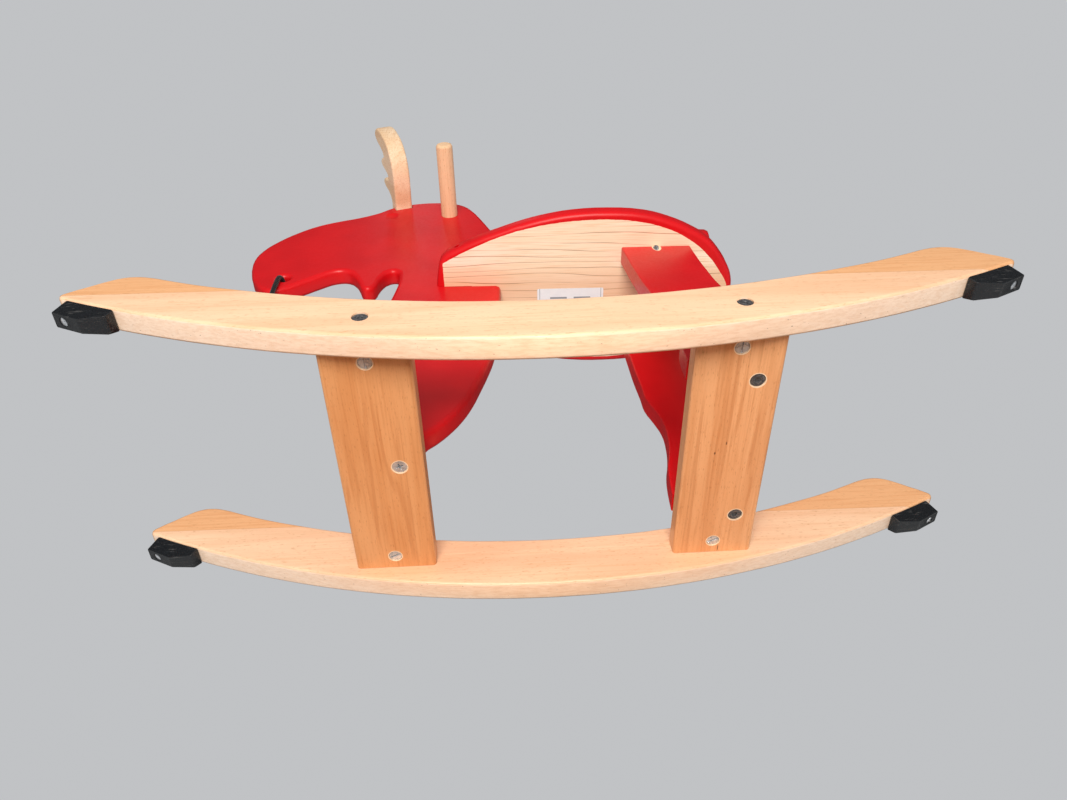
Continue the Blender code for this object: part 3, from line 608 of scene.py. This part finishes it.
# The growth lines sway along the board and are broken here and there.
even_phase = sums(tree, "MULTIPLY", xyz.outputs["Y"], GROWTH_RATE)
phase = sums(tree, "ADD", even_phase, sums(tree, "MULTIPLY", sway, SWAY))
lines = sums(tree, "ABSOLUTE", sums(tree, "SINE", phase))
thin_line = ramp(tree, lines, 0.03, 0.19, 1.0, 0.0)
broken = ramp(tree, speckle(tree, place, (170, 16, 16), detail=3), 0.36, 0.56)
wood = blend(tree, ramp(tree, broad, 0.35, 0.65), "#FFF1DE", "#F7E0C4")
# The underside is painted darker and warmer down its middle, fading out by 42 mm either side.
darker_middle_share = ramp(tree, sums(tree, "ABSOLUTE", xyz.outputs["Y"]), 0.008, 0.042, 0.6, 0.0)
wood = blend(tree, darker_middle_share, wood, "#DDA67A")
streaks = speckle(tree, place, (60, 1.6, 1.6), detail=3)
wood = blend(tree, ramp(tree, streaks, 0.45, 0.75, 0.0, 0.4), wood, "#DDB07F")
dark_share = sums(tree, "MULTIPLY", sums(tree, "MULTIPLY", thin_line, broken), 0.8)
wood = blend(tree, dark_share, wood, "#8A5A33")
uneven = add_node(tree, "Mix", {0: bare, 2: peel, 3: lines}, data_type="FLOAT").outputs[0]
finish = blend(tree, bare, paint, wood)
dress(tree, shader, finish, ramp(tree, bare, 0.0, 1.0, 0.36, 0.68), uneven, PEEL_MM)
finish_board("seat_board", "seat", seat_finish)
print("seat painted to a line", len(PAINT_LINE), "points long")

# %% [markdown]
# ## End stops
# Four moulded wedges under the rocker ends stop the toy from tipping over. They are black
# polypropylene: dark grey where the light falls, finely textured, and scuffed in patches.

# %% Moulded black plastic
moulded_black, tree, shader, place = start_material(
    "moulded_polypropylene", IOR=1.49, Specular_IOR_Level=0.5
)
grainy = speckle(tree, place, (1.2, 1.2, 1.2), detail=3)
scuffs = ramp(tree, speckle(tree, place, (16, 2.5, 2.5), detail=4, rough=0.7), 0.56, 0.72)
plastic = blend(tree, ramp(tree, grainy, 0.3, 0.7), "#141619", "#1E2125")
plastic = blend(tree, sums(tree, "MULTIPLY", scuffs, 0.4), plastic, "#646464")
dress(tree, shader, plastic, ramp(tree, scuffs, 0.0, 1.0, 0.26, 0.55), grainy, 0.05)
for end in ENDS:
    for side in SIDES:
        node = f"end_stop_{end}_{side}"
        finish_board(node, f"{end}_{side}_end_stop", moulded_black, sharp=60)
print("four end stops")

# %% [markdown]
# ## Bolts, nuts and screws
# A fastener's head is what shows, so its recess is real: a hexagon in the bolts, a slot in the
# barrel nuts and a cross in the wood screws. A boolean could cut it, but extruding one ring of
# points after another, with the last rings drawn to the recess's outline, gives clean faces and a
# rounded rim that catches the light.


# %% Turned fasteners with a recess
TURNED_POINTS = 72


def hexagon(size):
    """The radius of a hexagon with that inner radius, at an angle."""
    return lambda a: size / math.cos((a + math.pi / 6) % (math.pi / 3) - math.pi / 6)


def slot_outline(length, width):
    """The radius of a straight slot from its middle, at an angle."""
    return lambda a: min(length, width / 2 / max(1e-9, abs(math.sin(a))))


def cross_outline(length, width):
    """The radius of a cross with four equal arms, at an angle."""

    def radius(a):
        lean = (a + math.pi / 4) % (math.pi / 2) - math.pi / 4
        return min(length / math.cos(lean), width / 2 / max(1e-9, abs(math.sin(lean))))

    return radius


def fastener(name, rings, place, finish, node):
    """Rings of (radius or outline, height) from the tip, over the rim and into the recess."""
    shape = bmesh.new()
    bmesh.ops.create_circle(shape, segments=TURNED_POINTS, radius=1)
    turned = shape.verts[:]
    edges = shape.edges[:]
    for i, (outline, height) in enumerate(rings):
        if i:
            made = bmesh.ops.extrude_edge_only(shape, edges=edges)["geom"]
            edges = [e for e in made if isinstance(e, bmesh.types.BMEdge)]
            turned = [v for v in made if isinstance(v, bmesh.types.BMVert)]
        for v in turned:
            angle = math.atan2(v.co.y, v.co.x)
            radius = outline(angle) if callable(outline) else outline
            v.co = (radius * math.cos(angle), radius * math.sin(angle), height)
    bmesh.ops.holes_fill(shape, edges=[e for e in shape.edges if e.is_boundary], sides=0)
    bmesh.ops.recalc_face_normals(shape, faces=shape.faces)
    bmesh.ops.transform(shape, matrix=place, verts=shape.verts)
    made = add_piece(name, shape, finish)
    made.data.shade_smooth()
    made.data.set_sharp_from_angle(angle=math.radians(35))
    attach(made, "root")
    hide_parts(node)


def facing_out(face, out, turn):
    """A placement at a face, its +Z standing out of it and turned about that."""
    to_face = Vector(out).to_track_quat("Z", "Y").to_matrix().to_4x4()
    return Matrix.Translation(face) @ to_face @ Matrix.Rotation(turn, 4, "Z")


def head_place(node, turn=0.0):
    """The middle of a fastener's head, the way it faces, and its length, from its solid."""
    points = np.array([v.co for v in nodes[node].data.vertices])
    points = np.unique(points.round(6), axis=0)
    middle = points.mean(0)
    axis = np.linalg.svd(points - middle, full_matrices=False)[2][0]
    along = (points - middle) @ axis
    reach = np.linalg.norm(points - middle - np.outer(along, axis), axis=1)
    if along[reach.argmax()] < 0:
        axis, along = -axis, -along
    face = Vector(middle + axis * along.max())
    return facing_out(face, axis, turn), along.max() - along.min()


def nut_place(node, out, turn=0.0):
    """The middle of a barrel nut's outer face."""
    out = Vector(out).normalized()
    points = [v.co for v in nodes[node].data.vertices]
    top = max(p.dot(out) for p in points)
    low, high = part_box(node)
    middle = (low + high) / 2
    face = middle + out * (top - middle.dot(out))
    return facing_out(face, out, turn)


print("every recess is real geometry")

# %% Steel finishes
# Black-oxide steel: dark grey with a dull oily shine, paler where it is worn.
black_oxide, tree, shader, place = start_material("black_oxide_steel", Metallic=0.6)
worn = speckle(tree, place, (1.5, 1.5, 1.5), detail=3)
steel = blend(tree, ramp(tree, worn, 0.35, 0.7), "#585B5F", "#7C8084")
dress(tree, shader, steel, ramp(tree, worn, 0.3, 0.7, 0.3, 0.48), worn, 0.03)
# Bright zinc plating: bluish silver, faintly clouded.
zinc_plate, tree, shader, place = start_material("zinc_plated_steel", Metallic=0.6)
cloud = speckle(tree, place, (5, 5, 5), detail=2)
steel = blend(tree, ramp(tree, cloud, 0.3, 0.7), "#B9C1C9", "#E2E7EC")
dress(tree, shader, steel, ramp(tree, cloud, 0.3, 0.7, 0.22, 0.38), cloud, 0.03)
print("black oxide and zinc")

# %% Bolts, nuts and screws in place
# The radius of each head and shank, and the length of a barrel nut.
BOLT_HEAD, BOLT_SHANK = 0.0066, 0.003
NUT_RADIUS, NUT_LENGTH = 0.006, 0.014
STOP_SCREW = (0.0042, 0.002)
TOE_SCREW, SEAT_SCREW = (0.0032, 0.0017), (0.0027, 0.0017)
NECK_SCREW, ANTLER_SCREW = (0.0066, 0.003), (0.0045, 0.0022)
# How far a leg's outer face leans from upright.
LEG_SPLAY = math.atan(0.103)


def bolt_rings(length):
    """A connector bolt: a wide thin head with a hexagon in it."""
    head, key = BOLT_HEAD, hexagon(0.0023)
    return [
        (BOLT_SHANK - 0.0005, -length),
        (BOLT_SHANK, -length + 0.0005),
        (BOLT_SHANK, -0.0022),
        (head - 0.0003, -0.0022),
        (head, -0.0019),
        (head, -0.0006),
        (head - 0.0003, -0.00015),
        (head - 0.0008, 0.0),
        (0.0034, 0.0),
        (0.0031, -0.0002),
        (hexagon(0.0025), -0.0003),
        (key, -0.0006),
        (key, -0.0018),
        (0.0004, -0.0020),
    ]


def nut_rings():
    """A barrel nut with a slot across its end."""
    slot_edge, slot_floor = slot_outline(0.0053, 0.0016), slot_outline(0.0051, 0.0012)
    return [
        (NUT_RADIUS - 0.0004, -NUT_LENGTH),
        (NUT_RADIUS, -NUT_LENGTH + 0.0004),
        (NUT_RADIUS, -0.0005),
        (NUT_RADIUS - 0.0002, -0.00012),
        (NUT_RADIUS - 0.0006, 0.0),
        (slot_edge, 0.0),
        (slot_floor, -0.0003),
        (slot_floor, -0.0012),
    ]


def screw_rings(head, shank, length):
    """A countersunk wood screw with a cross in its head."""
    arm, width = head * 0.62, head * 0.26
    return [
        (0.0003, -length),
        (shank, -length + 2 * shank),
        (shank, -(head - shank) - 0.0006),
        (head, -0.0006),
        (head, -0.0003),
        (head - 0.0003, 0.0),
        (cross_outline(arm, width), -0.0001),
        (cross_outline(arm * 0.92, width * 0.85), -0.0003),
        (cross_outline(arm * 0.45, width * 0.6), -head * 0.42),
        (0.0002, -head * 0.5),
    ]


def bolt(name, node, turn):
    """A black bolt in place of its solid."""
    place, length = head_place(node, turn)
    fastener(name, bolt_rings(length), place, black_oxide, node)


def screw(name, node, turn, size, finish=zinc_plate):
    """A wood screw in place of its solid."""
    place, length = head_place(node, turn)
    fastener(name, screw_rings(*size, length), place, finish, node)


def nut(name, node, out, turn=0.0):
    """A barrel nut in place of its solid."""
    fastener(name, nut_rings(), nut_place(node, out, turn), zinc_plate, node)


for end in ENDS:
    for side in SIDES:
        where = f"{end}_{side}"
        slot_turn = math.pi / 2 if side == "left" else 0.4
        bolt(f"{where}_rocker_bolt", "rocker_bolt_" + where, 0.3)
        nut(f"{where}_barrel_nut", "rocker_nut_" + where, (0, 0, -1), slot_turn)
        screw(f"{where}_end_stop_screw", "end_stop_screw_" + where, 0.5, STOP_SCREW)
for side, sign in SIDES.items():
    bolt(f"{side}_leg_bolt", "leg_bolt_" + side, 0.2)
    out = (0, sign * math.cos(LEG_SPLAY), math.sin(LEG_SPLAY))
    nut(f"{side}_leg_barrel_nut", "leg_foot_nut_" + side, out)
    for kind, size in (("toe", TOE_SCREW), ("seat", SEAT_SCREW)):
        name, node = f"{side}_{kind}_screw", f"{kind}_screw_{side}"
        screw(name, node, 0.3, size, black_oxide)
screw("neck_screw", "head_screw", 0.35, NECK_SCREW)
screw("antler_top_screw", "antler_screw", 0.0, ANTLER_SCREW)
print("fasteners with real recesses")

# %% [markdown]
# ## Label and pegs
# A film label is stuck to the seat's underside. It has no words, only a frame line at each end
# and two plain bars. The pegs inside the joints are cut beech dowel, unseen but finished all the
# same.

# %% Label
LABEL_CORNER, LABEL_THICKNESS = 0.002, 0.0002
BAR_ROW, BAR_START, BAR_END = 0.0125, 0.004, 0.024
FRAME_LINE = 0.0365
low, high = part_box("blank_label")
shape = bmesh.new()
bmesh.ops.create_grid(shape, x_segments=1, y_segments=1, size=0.5)
label_size = (high.x - low.x, high.y - low.y, 1)
bmesh.ops.scale(shape, vec=label_size, verts=shape.verts)
bmesh.ops.bevel(
    shape,
    geom=shape.verts[:],
    offset=LABEL_CORNER,
    segments=5,
    profile=0.5,
    affect="VERTICES",
    material=-1,
)
lifted = bmesh.ops.extrude_face_region(shape, geom=shape.faces[:])["geom"]
top = [v for v in lifted if isinstance(v, bmesh.types.BMVert)]
bmesh.ops.translate(shape, vec=(0, 0, LABEL_THICKNESS), verts=top)
bmesh.ops.recalc_face_normals(shape, faces=shape.faces)
label_middle = (low + high) / 2
slope = Matrix.Rotation(-SEAT_SLOPE, 4, "Y")
label_place = Matrix.Translation(label_middle - Vector((0, 0, LABEL_THICKNESS / 2))) @ slope
bmesh.ops.transform(shape, matrix=label_place, verts=shape.verts)
# Printed polyester film: white, smooth, slightly shiny.
film, tree, shader, place = start_material(
    "white_polyester_film", Coat_Weight=0.2, Specular_IOR_Level=0.4
)
xyz = add_node(tree, "SeparateXYZ", {0: place})
across_label = sums(tree, "ABSOLUTE", sums(tree, "SUBTRACT", xyz.outputs["X"], label_middle.x))
along_label = sums(tree, "SUBTRACT", xyz.outputs["Y"], label_middle.y)
from_row = sums(tree, "ABSOLUTE", sums(tree, "SUBTRACT", along_label, BAR_ROW))
bar = ramp(tree, from_row, 0.0011, 0.0013, 1.0, 0.0)
bar = sums(tree, "MULTIPLY", bar, ramp(tree, across_label, BAR_END, BAR_END + 0.0002, 1.0, 0.0))
bar = sums(tree, "MULTIPLY", bar, ramp(tree, across_label, BAR_START, BAR_START + 0.0002))
from_frame = sums(tree, "ABSOLUTE", sums(tree, "SUBTRACT", across_label, FRAME_LINE))
frame_line = ramp(tree, from_frame, 0.0002, 0.0004, 1.0, 0.0)
paper = blend(tree, speckle(tree, place, (9, 9, 9), detail=3), "#EDF0F5", "#DDE2EA")
paper = blend(tree, sums(tree, "MAXIMUM", bar, frame_line), paper, "#8B929C")
dress(tree, shader, paper, ramp(tree, speckle(tree, place, (5, 5, 5)), 0.3, 0.7, 0.3, 0.42))
label = add_piece("film_label", shape, film)
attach(label, "root")
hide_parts("blank_label")
print("a label with two bars and no words")

# %% Pegs
# Raw beech dowel: dry, dull and speckled.
dowel, tree, shader, place = start_material("raw_beech_dowel", Specular_IOR_Level=0.3)
grain = speckle(tree, place, (3, 3, 3), detail=4)
wood = blend(tree, grain, "#D9B384", "#BD8F5E")
dress(tree, shader, wood, ramp(tree, grain, 0.3, 0.7, 0.6, 0.8), grain, 0.1)
pegs = [name for name in nodes if "peg" in name]
for name in pegs:
    for slot in nodes[name].material_slots:
        slot.material = dowel
print(len(pegs), "pegs in raw beech")

# %% [markdown]
# ## Floor and light
# The camera looks up from below the floor, so the floor is clear from behind and casts no shadow.
# From above it is a plain pale floor. One large soft light, low on the left, lights the undersides.
# A narrow one above it puts a soft highlight on the head, and a high one shapes the views from
# above. The high one isn't mirrored, since it would wash out the paint.

# %% Floor
FLOOR_HALF_WIDTH, FLOOR_DROP = 6, 0.0005
# Matt pale paint, clear from behind.
pale_floor, tree, shader, place = start_material("pale_floor", Roughness=0.8)
shader.inputs["Base Color"].default_value = linear("#D9D9D7")
behind = add_node(tree, "NewGeometry", {}).outputs["Backfacing"]
clear = add_node(tree, "BsdfTransparent", {})
shown = add_node(tree, "MixShader", {0: behind, 1: shader.outputs[0], 2: clear.outputs[0]})
tree.links.new(shown.outputs[0], tree.nodes["Material Output"].inputs["Surface"])
shape = bmesh.new()
bmesh.ops.create_grid(shape, x_segments=1, y_segments=1, size=FLOOR_HALF_WIDTH)
floor = add_piece("floor", shape, pale_floor)
floor.location.z = -FLOOR_DROP
floor.visible_shadow = False
print("a floor that can be seen from above only")


# %% Lights
def soft_light(name, place, target, size, power, colour, mirrored=True):
    """An area light of that width and height in metres, and that power in watts."""
    data = bpy.data.lights.new(name, "AREA")
    data.shape = "RECTANGLE"
    data.size, data.size_y = size
    data.energy = power
    data.color = linear(colour)[:3]
    made = bpy.data.objects.new(name, data)
    made.location = place
    aim = Vector(target) - Vector(place)
    made.rotation_euler = aim.to_track_quat("-Z", "Y").to_euler()
    made.visible_glossy = mirrored
    scene.collection.objects.link(made)


BODY, HEAD_MIDDLE, SEAT_MIDDLE = (0, 0, 0.2), (0.149, 0.011, 0.484), (0, 0, 0.4)
soft_light("low_window", (0.18, 1.7, -1.1), BODY, (0.95, 0.95), 50, "#FFF6EC")
soft_light("head_strip", (0.31, 0.66, 1.94), HEAD_MIDDLE, (0.14, 0.6), 0.3, "#FFFFFF")
soft_light(
    "high_window", (-0.1, -0.35, 2.4), SEAT_MIDDLE, (0.8, 0.8), 17, "#FFFFFF", mirrored=False
)
world = bpy.data.worlds.new("pale_room")
world.use_nodes = True
tree = world.node_tree
# The room gives soft light all round, but little of it mirrors in the paint and the plastic.
ROOM_LIGHT, ROOM_MIRRORED = 0.6, 0.07
seen_in_gloss = add_node(tree, "LightPath", {}).outputs["Is Glossy Ray"]
strength = ramp(tree, seen_in_gloss, 0.0, 1.0, ROOM_LIGHT, ROOM_MIRRORED)
background = tree.nodes["Background"]
background.inputs["Color"].default_value = linear("#F2F4F7")
tree.links.new(strength, background.inputs["Strength"])
world.cycles.sampling_method = "NONE"
scene.world = world
print("floor, three lights and a pale room")
